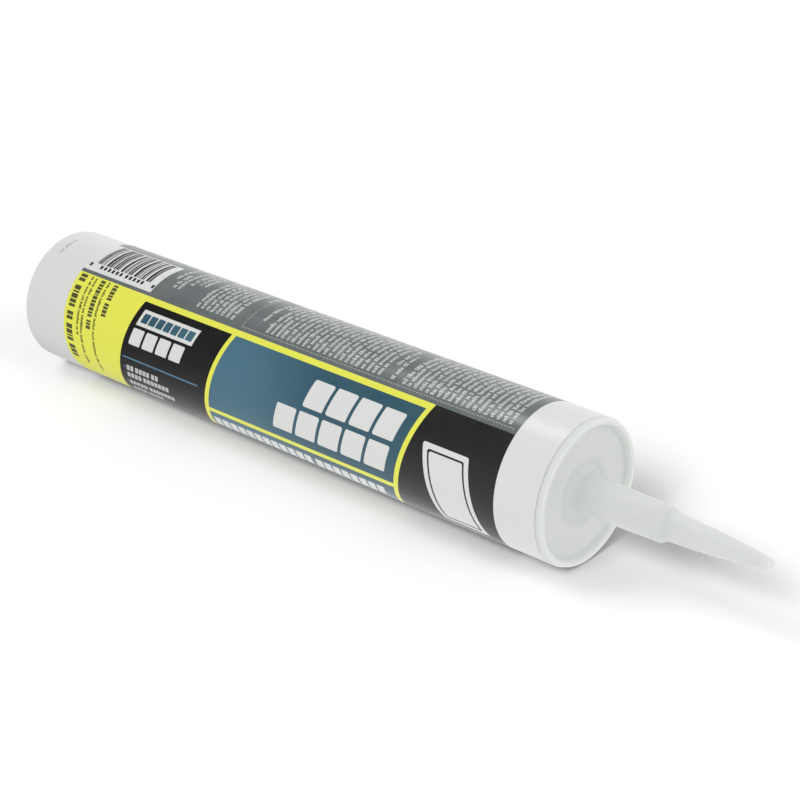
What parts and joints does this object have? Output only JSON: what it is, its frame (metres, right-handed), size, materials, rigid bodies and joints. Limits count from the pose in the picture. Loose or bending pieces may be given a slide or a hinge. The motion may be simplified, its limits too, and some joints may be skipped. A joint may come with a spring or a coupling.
{
  "type": "construction adhesive cartridge",
  "caption": "Round white adhesive cartridge with a sunk front face, tapered closed nozzle and sliding rear plunger, for a caulking gun.",
  "frame": {"origin": "centre of the open rear rim, on the plane that the cartridge stands on", "axes": "+Z along the cartridge's axis from the rear rim to the nozzle tip; -Y through the middle of the front print"},
  "size_m": [0.0638, 0.0638, 0.3977],
  "materials": {
    "barrel_plastic": "satin white polyethylene tube",
    "nozzle_plastic": "satin white moulded polyethylene, faintly translucent at the nozzle",
    "seal_foil": "plain foil",
    "plunger_plastic": "natural low-density polyethylene",
    "adhesive_paste": "pale paste",
    "grey_ink": "grey print, satin varnish",
    "black_ink": "black print, satin varnish",
    "blue_ink": "slate-blue print, satin varnish",
    "yellow_ink": "lemon-yellow print, satin varnish"
  },
  "bodies": {
    "cartridge": {"barrel": "barrel_plastic", "head_nozzle": "nozzle_plastic", "inner_seal": "seal_foil", "adhesive": "adhesive_paste", "grey_print": "grey_ink", "black_print": "black_ink", "blue_print": "blue_ink", "yellow_print": "yellow_ink"},
    "plunger": {"plunger": "plunger_plastic"}
  },
  "joints": [
    {"name": "plunger_slide", "type": "slide", "parent": "cartridge", "child": "plunger", "axis": [0, 0, 1], "range_m": [0, 0.285], "deforming": ["adhesive"]}
  ]
}
